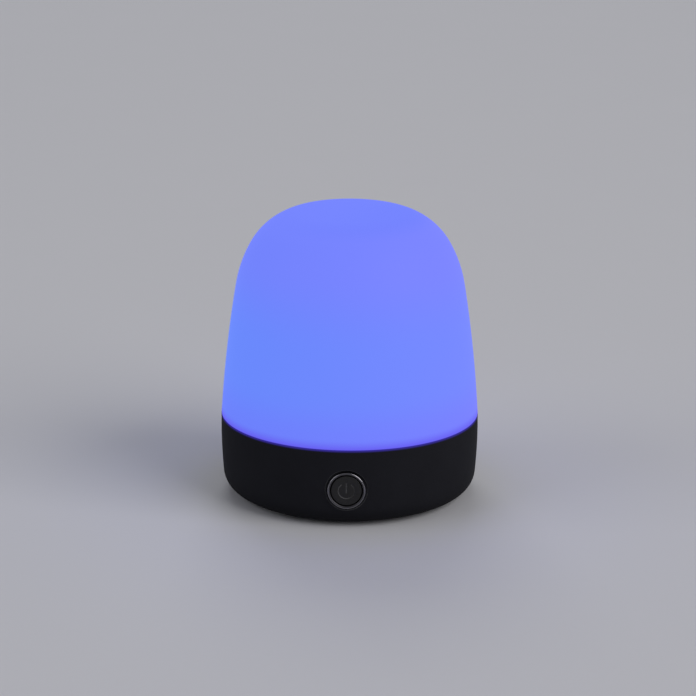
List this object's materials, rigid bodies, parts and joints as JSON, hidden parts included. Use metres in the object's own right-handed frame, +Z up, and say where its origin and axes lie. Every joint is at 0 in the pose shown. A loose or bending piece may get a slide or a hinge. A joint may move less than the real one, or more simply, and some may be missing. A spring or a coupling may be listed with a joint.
{
  "type": "portable smart mood lamp",
  "caption": "Cordless mood lamp: a tall opal light dome on a dark round base, with a ringed power button in front and a charging port behind.",
  "frame": {"origin": "centre of the lamp's round footprint, on the table surface under its rubber feet", "axes": "+Z up along the dome's axis; the power button faces -Y and the charging port faces +Y; +X is to the right seen from the front"},
  "size_m": [0.11, 0.1104, 0.1246],
  "materials": {
    "opal_diffuser": "satin",
    "soft_rubber": "matte",
    "charcoal_plastic": "fine matte texture",
    "cover_plastic": "matte",
    "white_plastic": "matte",
    "bezel_metal": "polished dark",
    "button_plastic": "satin",
    "steel": "satin",
    "spreader_aluminium": "satin",
    "white_board": "solder mask",
    "green_board": "solder mask",
    "led_case": "satin",
    "led_window": "clear resin",
    "black_plastic": "satin",
    "plunger_plastic": "satin",
    "connector_nylon": "satin",
    "socket_steel": "satin",
    "shield_tin": "satin",
    "clear_plastic": "polished clear",
    "cell_sleeve": "printed plastic sleeve over a metal can",
    "nickel": "satin",
    "component_black": "satin",
    "lead_jacket": "satin"
  },
  "bodies": {
    "lamp_body": {"diffuser_dome": "opal_diffuser", "dome_gasket": "soft_rubber", "base_shell": "charcoal_plastic", "bottom_cover": "cover_plastic", "foot_pads": "soft_rubber", "cover_screws": "steel", "light_tray": "white_plastic", "heat_spreader": "spreader_aluminium", "led_board": "white_board", "leds": "led_case", "led_windows": "led_window", "led_board_screws": "steel", "bezel_ring": "bezel_metal", "bezel_retainer": "steel", "button_board": "green_board", "switch_housing": "black_plastic", "button_board_screws": "steel", "main_board": "green_board", "main_board_screws": "steel", "board_connectors": "connector_nylon", "lead_plugs": "connector_nylon", "wireless_module": "green_board", "module_shield": "shield_tin", "power_parts": "component_black", "board_chips": "black_plastic", "usb_socket": "socket_steel", "usb_tongue": "black_plastic", "charge_light_pipe": "clear_plastic", "battery_cell": "cell_sleeve", "battery_tabs": "nickel", "battery_strap": "cover_plastic", "strap_screws": "steel", "led_leads": "lead_jacket", "battery_leads": "lead_jacket", "button_leads": "lead_jacket"},
    "button": {"power_button": "button_plastic"},
    "plunger": {"switch_plunger": "plunger_plastic"}
  },
  "joints": [
    {"name": "button_press", "type": "slide", "parent": "lamp_body", "child": "button", "axis": [0, 1, 0], "range_m": [0, 0.0006], "stiffness_N_per_m": 2600},
    {"name": "plunger_press", "type": "slide", "parent": "lamp_body", "child": "plunger", "axis": [0, 1, 0], "range_m": [0, 0.0006]}
  ],
  "couplings": [
    {"joint": "plunger_press", "follows": "button_press", "ratio": 1}
  ]
}
